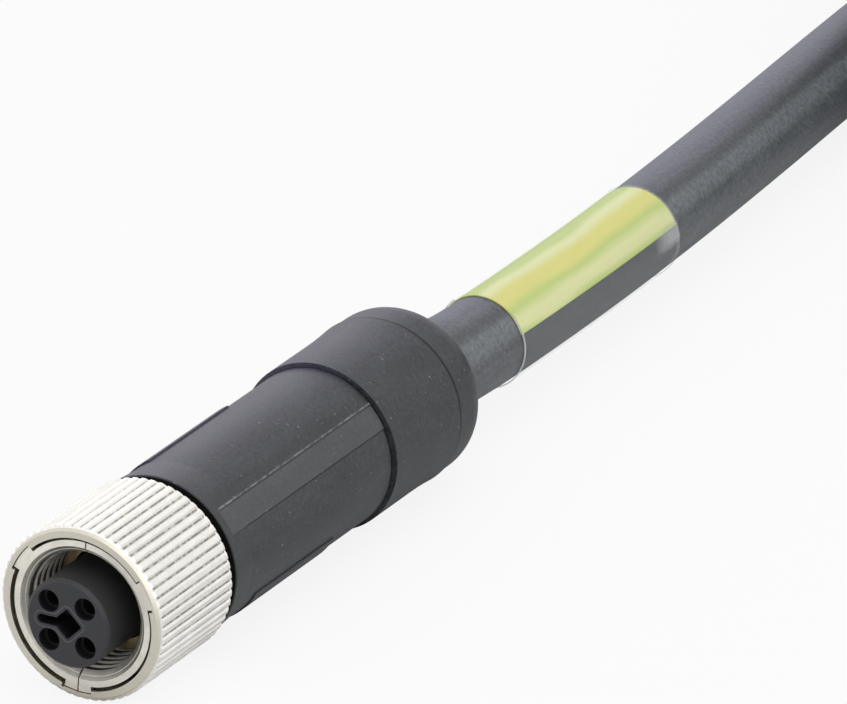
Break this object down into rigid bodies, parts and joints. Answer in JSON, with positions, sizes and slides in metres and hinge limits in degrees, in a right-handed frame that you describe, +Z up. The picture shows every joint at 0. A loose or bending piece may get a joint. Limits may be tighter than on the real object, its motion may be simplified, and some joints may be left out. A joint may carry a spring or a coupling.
{
  "type": "circular sensor cable",
  "caption": "Straight female round screw connector on a moulded grip, with its marked cable tied in a hank and its stripped cores at the open end.",
  "frame": {"origin": "centre of the circle of contact holes, on the insert's mating face", "axes": "+Y along the connector's axis from the mating face to the cable, +Z up, the slot arm of the recess towards -X"},
  "size_m": [0.0794, 0.2871, 0.0273],
  "materials": {
    "nickel_knurl": "nickel-plated brass, satin, straight knurl",
    "nickel_turned": "nickel-plated brass, turned",
    "spring_steel": "flat spring wire",
    "seal_rubber": "moulded rubber",
    "insert_black": "moulded polyamide",
    "inner_black": "moulded plastic",
    "grip_black": "moulded polyurethane, fine grain",
    "cable_jacket": "extruded polyurethane jacket",
    "label_film": "yellow-green film",
    "clear_tube": "clear plastic tube",
    "tie_film": "black hook-and-loop tape",
    "contact_plating": "gold-plated contact",
    "tinned_copper": "tinned copper ferrule",
    "core_brown": "core insulation, brown",
    "core_white": "core insulation, white",
    "core_blue": "core insulation, blue",
    "core_black": "core insulation, black"
  },
  "bodies": {
    "connector": {"seal_ring": "seal_rubber", "contact_insert": "insert_black", "support_barrel": "nickel_turned", "inner_mould": "inner_black", "grip_body": "grip_black", "end_ring": "grip_black", "cable_run": "cable_jacket", "cable_hank": "cable_jacket", "hank_tie_left": "tie_film", "hank_tie_right": "tie_film", "marker_label": "label_film", "clear_sleeve": "clear_tube", "socket_contact_1": "contact_plating", "inner_core_1": "core_brown", "free_core_1": "core_brown", "core_ferrule_1": "tinned_copper", "socket_contact_2": "contact_plating", "inner_core_2": "core_white", "free_core_2": "core_white", "core_ferrule_2": "tinned_copper", "socket_contact_3": "contact_plating", "inner_core_3": "core_blue", "free_core_3": "core_blue", "core_ferrule_3": "tinned_copper", "socket_contact_4": "contact_plating", "inner_core_4": "core_black", "free_core_4": "core_black", "core_ferrule_4": "tinned_copper"},
    "threaded_ring": {"threaded_ring_right": "nickel_turned", "threaded_ring_left": "nickel_turned", "snap_ring": "spring_steel"},
    "knurled_sleeve_body": {"knurled_sleeve": "nickel_knurl"}
  },
  "joints": [
    {"name": "ring_spin", "type": "hinge", "parent": "connector", "child": "threaded_ring", "pos_m": [0, 0.007, 0], "axis": [0, 1, 0], "continuous": true},
    {"name": "sleeve_slide", "type": "slide", "parent": "threaded_ring", "child": "knurled_sleeve_body", "axis": [0, 1, 0], "range_m": [0, 0.0008]}
  ]
}
